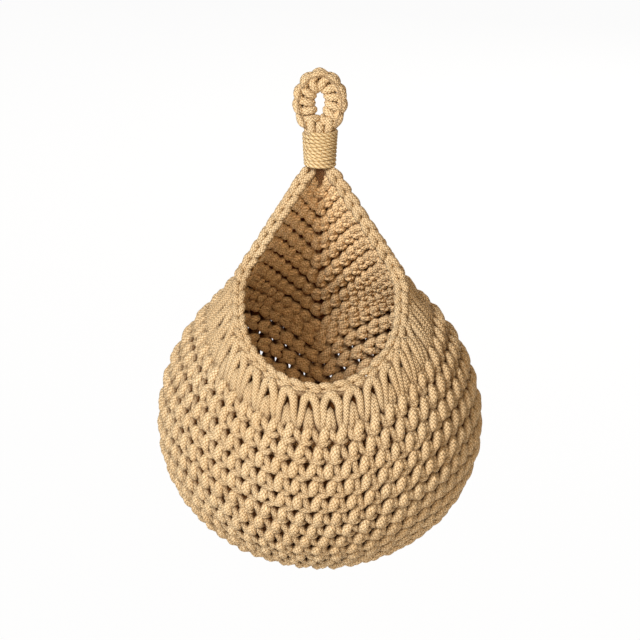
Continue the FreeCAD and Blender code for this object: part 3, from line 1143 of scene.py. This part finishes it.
@dataclass
class Rim:
    """The chain round the teardrop mouth: along the lip, then up both edges of the hood.

    It keeps a seam to the rounds and rows beside it, turns up at the shoulders, and stands far
    enough outside the hood's edge to cover the ends of the rows. Its broad side has one facing
    all the way, and its ends gather in the neck.
    """

    cord: float = 7.0
    seam: float = 0.4
    turn_azimuth: float = 76.0
    turn_rise: float = 8.0
    top_drop: float = 9.0
    gather: tuple[float, float, float] = (5.6, -3.4, -40.5)
    facing: tuple[float, float, float] = (0.0, -1.0, 0.35)
    row_end_cover: float = 2.6
    link: float = 9.2
    spread: float = 1.3
    lip_points: int = 23
    side_points: int = 5
    edge_samples: int = 400
    line_samples: int = 8
    crochet: CrochetWork = field(default_factory=lambda: CrochetWork(2.1, 4))

    def lip(self) -> np.ndarray:
        """Follow the lip, beside the last round's edge and square to it.

        Returns:
            Places from the left turn to the right one.
        """
        nudge = 0.5
        azimuth = np.linspace(-self.turn_azimuth, self.turn_azimuth, self.lip_points)

        def edge(shift: float, depth: np.ndarray | float) -> np.ndarray:
            """The lip's edge, a little further round or deeper."""
            return SKIN.point(azimuth + shift, SKIN.top_elevation(azimuth + shift), depth)

        cover = self.row_end_cover * (azimuth / self.turn_azimuth) ** 2
        middle = edge(0, SKIN.wall / 2 - cover)
        way = unit(edge(nudge, SKIN.wall / 2) - edge(-nudge, SKIN.wall / 2))
        outwards = unit(edge(0, 0) - edge(0, SKIN.wall))
        return middle + np.cross(outwards, way) * (self.cord / 2 + self.seam)

    def side(self) -> np.ndarray:
        """Follow the right edge of the hood.

        Returns:
            Places from the shoulder up to the neck.
        """
        elevation = np.linspace(SKIN.shoulder_angle, SKIN.steepest_angle, self.edge_samples)
        radius, height = SKIN.profile(elevation, SKIN.wall / 2)
        shoulder = float(SKIN.profile(np.array(SKIN.shoulder_angle))[1])
        levels = np.linspace(shoulder + self.turn_rise, SKIN.tip_rise - self.top_drop, self.side_points)
        order = np.argsort(height)
        reach = np.interp(levels, height[order], radius[order]) + self.row_end_cover
        beside = np.full(len(levels), -self.cord / 2 - self.seam)
        return np.vstack([np.stack([reach, beside, SKIN.belly_level + levels], axis=-1), self.gather])

    def ribbon(self) -> Ribbon:
        """Join the whole line, with the chain's broad side to the front.

        Returns:
            The band that the chain is worked along.
        """
        right = self.side()
        left = right[::-1] * np.array((-1, 1, 1))
        path = rounded(np.vstack([left, self.lip(), right]), self.line_samples)
        way = unit(np.gradient(path, axis=0))
        across = unit(np.cross(np.array(self.facing), way))
        return Ribbon(path, across, np.cross(way, across), self.link)

    def build(self) -> list[bpy.types.Object]:
        """Work the chain.

        Returns:
            The chain, as the only piece.
        """
        cordage = Cordage()
        self.crochet.work(cordage, self.ribbon(), wide_chain(self.spread))
        return [cordage.piece("rim_chain_links")]

    def dress(self, pieces: Sequence[bpy.types.Object]) -> None:
        """Give the chain its cord, bake its place into its mesh, and hide the solid that it replaces.

        Args:
            pieces: the chain that build made.
        """
        (chain,) = pieces
        RIM_CORD.dress(chain)
        bend_between(chain, (Body.BASKET, Body.NECK), SWAY_ROOM, Slot.RIM, "rim_chain")


@dataclass
class Neck:
    """The bundle of cords above the crown, and the whipping wound round it.

    The whipping's turns tilt a little, most at half height. An out is the depth that a cord's
    finish shades it by.
    """

    top: float = -16.0
    foot: float = -40.0
    top_radius: float = 11.0
    foot_radius: float = 9.8
    whip_cord: float = 2.5
    whip_turns: float = 9.6
    whip_tilt: float = 0.15
    whip_out: float = 3.0
    whip_sides: int = 10
    whip_samples: int = 40
    bundle_radius: float = 5.2
    bundle_cord: float = 2.3
    bundle_count: int = 7
    bundle_inset: float = 1.0
    bundle_out: float = 4.0
    bundle_points: int = 9

    def build(self) -> list[bpy.types.Object]:
        """Lay the neck's cords.

        Returns:
            The bundle and the whipping.
        """
        bundle = self.bundle().piece("neck_bundle_cords")
        whipping = self.whipping().piece("neck_whipping_cord")
        return [bundle, whipping]

    def dress(self, pieces: Sequence[bpy.types.Object]) -> None:
        """Give each piece its cord and put it on the neck.

        Args:
            pieces: the bundle and the whipping that build made.
        """
        bundle, whipping = pieces
        NECK_CORD.dress(bundle)
        settle(bundle, Body.NECK, "neck_core")
        WHIPPING_CORD.dress(whipping)
        settle(whipping, Body.NECK, "neck_whipping")

    def bundle(self) -> Cordage:
        """Lay the upright cords inside the whipping.

        Returns:
            The bundle's cords.
        """
        cordage = Cordage()
        low, high = self.foot + self.bundle_inset, self.top - self.bundle_inset
        height = np.linspace(low, high, self.bundle_points)
        for turn in np.arange(self.bundle_count) * TURN / self.bundle_count:
            outwards = np.array((math.sin(turn), math.cos(turn), 0.0))
            path = outwards * self.bundle_radius + height[:, None] * np.array((0, 0, 1))
            cordage.lay(path, outwards, self.bundle_cord, self.bundle_out)
        return cordage

    def whipping(self) -> Cordage:
        """Wind the thin cord's turns, from the foot of the neck to its top.

        Returns:
            The whipping's cord.
        """
        cordage = Cordage(sides=self.whip_sides)
        share = np.linspace(0, 1, round(self.whip_turns * self.whip_samples))
        turn = share * self.whip_turns * TURN
        outwards = np.stack([np.sin(turn), np.cos(turn), np.zeros_like(turn)], axis=-1)
        half = self.whip_cord / 2
        radius = self.foot_radius + (self.top_radius - self.foot_radius) * share - half
        height = self.foot + half + (self.top - self.foot - 2 * half) * share
        height += self.whip_tilt * radius * np.sin(turn) * np.sin(math.pi * share)
        path = outwards * radius[:, None] + height[:, None] * np.array((0, 0, 1))
        cordage.lay(path, outwards, half, self.whip_out)
        return cordage


@dataclass
class Crown:
    """The last V row, and its cords drawn up from the hood into the neck.

    The cords lie in layers, the inner one with two cords fewer and a step nearer to the neck's
    middle. Each overlaps the row, climbs the hood to a drop below its tip, and goes into the
    bundle between two ends, counted from the neck's foot.
    """

    hood: Hood
    neck: Neck
    foot: float = 132.6
    row_height: float = 11.0
    count: int = 9
    cord: float = 2.3
    layers: tuple[float, float] = (1.6, -1.6)
    layer_step: float = 2.6
    span: tuple[float, float] = (94.0, 266.0)
    overlap: float = 6.0
    drop: float = 4.0
    least_climb: float = 1.0
    entry: float = 1.2
    ends: tuple[float, float] = (-1.0, 4.0)
    # The depth that the finish paints shade by, the same for every cord.
    out: float = 3.4
    points: int = 4

    def build(self) -> list[bpy.types.Object]:
        """Work the row and draw up its cords.

        Returns:
            The crown, as the only piece.
        """
        cordage = Cordage()
        top = self.foot + self.row_height
        row = self.hood.course(self.foot, top)
        self.hood.crochet.work(cordage, row, single_crochet(self.hood.inside_lift))
        for layer, depth in enumerate(self.layers):
            azimuths = np.linspace(*self.span, self.count - 2 * layer)
            lows = SKIN.v_elevation(top - self.overlap, SKIN.v_slope(), azimuths)
            highs = SKIN.v_elevation(SKIN.tip_rise - self.drop, 0.0, azimuths)
            entry = self.neck.bundle_radius + self.entry - self.layer_step * layer
            for azimuth, low, high in zip(azimuths, lows, highs, strict=True):
                climb = np.linspace(low, max(high, low + self.least_climb), self.points)
                on_hood = SKIN.point(np.full(len(climb), azimuth), climb, SKIN.wall / 2 - depth)
                self.draw_up(cordage, on_hood, math.radians(azimuth), entry)
        return [cordage.piece("crown_gather_cords")]

    def draw_up(self, cordage: Cordage, on_hood: np.ndarray, turn: float, entry: float) -> None:
        """Lay one cord from the hood up into the neck.

        Args:
            cordage: the mesh to add to.
            on_hood: its places on the hood, from the lowest up.
            turn: its angle round from the front, in radians.
            entry: its distance from the neck's middle where it goes in.
        """
        aim = np.array((math.sin(turn), -math.cos(turn), 0.0))
        in_neck = [aim * entry + np.array((0, 0, self.neck.foot + end)) for end in self.ends]
        cordage.lay(rounded(np.vstack([on_hood, *in_neck])), aim, self.cord, self.out)

    def dress(self, pieces: Sequence[bpy.types.Object]) -> None:
        """Give the crown its cord, bake its place into its mesh, and hide the solid that it replaces.

        Args:
            pieces: the crown that build made.
        """
        (crown,) = pieces
        HOOD_CORD.dress(crown)
        bend_between(crown, (Body.BASKET, Body.NECK), SWAY_ROOM, Slot.HOOD, "crown_gather")


@dataclass
class Loop:
    """The hanging loop: a foundation cord, the stitches over it, and a chain along its edge.

    The wrap is the cover's half width and half depth. Each foot cord has a depth and a width
    where it leaves the loop. On its way down it draws in and spreads, at levels that rise from
    the start of the room in which it bends and lead to its end. Two cords lie in the middle.
    """

    half_width: float = 8.3
    top: float = 12.55
    foot: tuple[float, float] = (4.6, -13.4)
    limb_points: int = 8
    arch_points: int = 25
    core_cord: float = 2.4
    core_out: float = 4.0
    wrap: tuple[float, float] = (3.7, 3.2)
    wrap_shift: float = 0.4
    wrap_cord: float = 2.6
    wrap_pitch: float = 5.4
    wrap_out: float = 0.6
    wrap_samples: int = 20
    edge_offset: float = 4.6
    edge_link: float = 8.6
    edge_spread: float = 1.9
    edge_crochet: CrochetWork = field(default_factory=lambda: CrochetWork(2.5, 4))
    foot_cord: float = 2.6
    foot_out: float = 2.0
    foot_cords: tuple[tuple[float, float], ...] = ((-3.4, 5.4), (0.0, 7.6), (3.4, 5.4))
    foot_draw: tuple[float, ...] = (0.0, 0.0, 0.6, 1.0)
    foot_spread: tuple[float, ...] = (1.0, 1.2, 1.3, 1.3)
    foot_rises: tuple[float, float] = (3.0, -2.0)
    foot_lead: float = 4.0
    middle_depth: float = 4.6
    middle_spread: tuple[float, ...] = (0.6, 1.0, 1.0)
    middle_rises: tuple[float, float] = (-1.0, -4.0)
    bend_room: tuple[float, float] = (-11.0, -21.0)

    def line(self) -> np.ndarray:
        """Follow the loop's middle, from its left foot over the top to its right foot.

        Returns:
            Places along it.
        """
        share = np.linspace(1, 0, self.limb_points + 1)[:-1]
        width = self.foot[0] + (self.half_width - self.foot[0]) * (1 + np.cos(math.pi * share)) / 2
        rising = np.stack([-width, np.zeros_like(share), self.foot[1] * share], axis=-1)
        turn = np.linspace(math.pi, 0, self.arch_points)
        across, level = self.half_width * np.cos(turn), self.top * np.sin(turn)
        over = np.stack([across, np.zeros_like(turn), level], axis=-1)
        falling = rising[::-1] * np.array((-1, 1, 1))
        return rounded(np.vstack([rising, over, falling]))

    def outwards(self) -> np.ndarray:
        """Directions away from the eye, in the loop's plane."""
        way = unit(np.gradient(self.line(), axis=0))
        return np.stack([-way[:, 2], np.zeros(len(way)), way[:, 0]], axis=-1)

    def build(self) -> list[bpy.types.Object]:
        """Work the loop.

        Returns:
            The foundation, its cover, the edge's chain and the feet.
        """
        line, outwards = self.line(), self.outwards()
        flat = np.tile((0.0, 1.0, 0.0), (len(line), 1))
        core = Cordage()
        core.lay(line, flat, self.core_cord, self.core_out)
        edge = Cordage()
        ribbon = Ribbon(line + outwards * self.edge_offset, flat, outwards, self.edge_link)
        self.edge_crochet.work(edge, ribbon, wide_chain(self.edge_spread))
        return [
            core.piece("loop_core_cord"),
            self.cover(line, flat, outwards).piece("loop_cover_stitches"),
            edge.piece("loop_edge_links"),
            self.feet().piece("loop_foot_cords"),
        ]

    def dress(self, pieces: Sequence[bpy.types.Object]) -> None:
        """Give each piece its cord and hang it on the root body, all but the feet, whose place is baked
        into their mesh.

        Args:
            pieces: the foundation, cover, edge and feet that build made.
        """
        *held, feet = pieces
        for piece, node in zip(held, ("loop_core", "loop_cover", "loop_edge_chain"), strict=True):
            LOOP_CORD.dress(piece)
            settle(piece, Body.LOOP, node)
        LOOP_CORD.dress(feet)
        bend_between(feet, (Body.LOOP, Body.NECK), self.bend_room, Slot.LOOP)

    def cover(self, line: np.ndarray, flat: np.ndarray, outwards: np.ndarray) -> Cordage:
        """Wind cord round the foundation, turn beside turn.

        Args:
            line: the loop's middle.
            flat: directions square to the loop's plane.
            outwards: directions away from the eye.

        Returns:
            The cover's cord.
        """
        cordage = Cordage()
        lengths = distances(line)
        turns = round(lengths[-1] / self.wrap_pitch)
        share = np.linspace(0, 1, turns * self.wrap_samples)
        turn = (share * turns * TURN)[:, None]
        at = share * lengths[-1]
        wide, deep = self.wrap
        sideways = wide * np.cos(turn) * read_rows(at, lengths, outwards)
        away = sideways + deep * np.sin(turn) * read_rows(at, lengths, flat)
        middle = read_rows(at, lengths, line + self.wrap_shift * outwards)
        cordage.lay(middle + away, unit(away), self.wrap_cord, self.wrap_out)
        return cordage

    def feet(self) -> Cordage:
        """Lay the loop's ends, which go down into the neck.

        Returns:
            The cords of both feet, and the two between them.
        """
        cordage = Cordage()
        high, low = self.bend_room
        levels = np.array([high + rise for rise in self.foot_rises] + [low + self.foot_lead, low])
        for side in (-1, 1):
            for depth, width in self.foot_cords:
                across = side * (width - np.array(self.foot_draw))
                rows = np.stack([across, depth * np.array(self.foot_spread), levels], axis=-1)
                self.foot_strand(cordage, rows)
        levels = np.array([high + rise for rise in self.middle_rises] + [low])
        for depth in (-self.middle_depth, self.middle_depth):
            spread = depth * np.array(self.middle_spread)
            self.foot_strand(cordage, np.stack([np.zeros_like(levels), spread, levels], axis=-1))
        return cordage

    def foot_strand(self, cordage: Cordage, rows: np.ndarray) -> None:
        """Lay one upright cord of the loop's foot.

        Args:
            cordage: the mesh to add to.
            rows: its control points, from the top down.
        """
        curve = rounded(rows)
        off_axis = np.array((0, 1e-3, 0))
        facing = unit(curve * np.array((1, 1, 0)) + off_axis)
        cordage.lay(curve, facing, self.foot_cord, self.foot_out)


@dataclass(frozen=True)
class Lamp:
    """One soft square lamp: its place from the basket's middle, in metres, its size and its watts."""

    name: str
    place: tuple[float, float, float]
    size: float
    power: float
    colour: str

    def hang(self, middle: Vector) -> None:
        """Hang the lamp so that it faces the basket.

        Args:
            middle: the basket's middle.
        """
        lamp = bpy.data.lights.new(self.name, "AREA")
        lamp.color = linear(self.colour)[:3]
        lamp.size = self.size
        lamp.energy = self.power
        made = bpy.data.objects.new(self.name, lamp)
        bpy.context.scene.collection.objects.link(made)
        made.location = middle + Vector(self.place)
        made.rotation_euler = (-Vector(self.place)).to_track_quat("-Z", "Y").to_euler()


# A key at the upper left, a weak fill from the front, a lamp that looks into the mouth, and one
# from behind for the light that comes through the wall.
LAMPS = (
    Lamp("key_lamp", (-1.2, -1.95, 1.35), 0.7, 68.0, "#FFFFFF"),
    Lamp("fill_lamp", (-0.4, -2.6, 0.2), 1.4, 4.0, "#FFDCB0"),
    Lamp("mouth_lamp", (0.3, -2.3, 1.2), 0.9, 16.0, "#FFE2BE"),
    Lamp("back_lamp", (0.7, 2.6, 0.6), 1.2, 42.0, "#FFF8EE"),
)


@dataclass
class Studio:
    """A pale floor well below the hanging basket, soft light, and the photograph's camera."""

    camera_distance: float = 3000.0
    camera_elevation: float = 16.0
    picture_width: float = 390.0
    sensor_width: float = 36.0
    farthest_seen: float = 100.0
    aim_rise: float = 63.4
    floor_size: float = 40.0
    floor_drop: float = 320.0
    backdrop_glow: float = 0.97
    sky_colour: str = "#FFD9AA"
    sky_light: float = 0.17
    lamps: tuple[Lamp, ...] = LAMPS

    def build(self) -> None:
        """Set the stage."""
        self.floor()
        for lamp in self.lamps:
            lamp.hang(self.middle())
        self.sky()
        self.camera()
        bpy.context.scene.view_settings.view_transform = "Standard"

    def middle(self) -> Vector:
        """The place in the basket that the camera and the lamps face."""
        return Vector((0, 0, (SKIN.belly_level + self.aim_rise) * MM))

    def floor(self) -> None:
        """A wide paper floor."""
        level = (SKIN.belly_level - SKIN.belly_depth - self.floor_drop) * MM
        bpy.ops.mesh.primitive_plane_add(size=self.floor_size, location=(0, 0, level))
        floor = bpy.context.object
        floor.name = "studio_floor"
        PaperFinish().dress(floor)

    def sky(self) -> None:
        """An even, slightly warm sky that lights the basket, and is white where it is seen."""
        world = bpy.data.worlds.new("studio_sky")
        world.use_nodes = True
        bpy.context.scene.world = world
        tree = world.node_tree
        tree.nodes.clear()
        light = add_node(
            tree, "ShaderNodeBackground", Color=linear(self.sky_colour), Strength=self.sky_light
        )
        backdrop = add_node(
            tree, "ShaderNodeBackground", Color=linear("#FFFFFF"), Strength=self.backdrop_glow
        )
        mixed = add_node(tree, "ShaderNodeMixShader", Fac=seen(tree), i1=light, i2=backdrop)
        add_node(tree, "ShaderNodeOutputWorld", Surface=mixed)

    def camera(self) -> None:
        """The photograph's view: a long lens, a little above the basket."""
        lens = bpy.data.cameras.new("camera")
        made = bpy.data.objects.new("camera", lens)
        bpy.context.scene.collection.objects.link(made)
        lift = math.radians(self.camera_elevation)
        back = Vector((0, -math.cos(lift), math.sin(lift))) * self.camera_distance * MM
        made.location = self.middle() + back
        made.rotation_euler = (-back).to_track_quat("-Z", "Y").to_euler()
        lens.sensor_width = self.sensor_width
        lens.lens = self.sensor_width * self.camera_distance / self.picture_width
        lens.clip_end = self.farthest_seen
        bpy.context.scene.camera = made


def main() -> None:
    """Load the frame, set the stage, then build, dress and report the basket from the bottom up."""
    logging.basicConfig(level=logging.INFO, format="%(message)s")
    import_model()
    Studio().build()
    hood, neck = Hood(), Neck()
    assemblies: Sequence[SubAssembly] = (Belly(), hood, Rim(), neck, Crown(hood, neck), Loop())
    for assembly in assemblies:
        pieces = assembly.build()
        assembly.dress(pieces)
        for piece in pieces:
            cord = piece.active_material.name
            LOG.info("%s: %d faces of %s", piece.name, len(piece.data.polygons), cord)


if __name__ == "__main__":
    main()
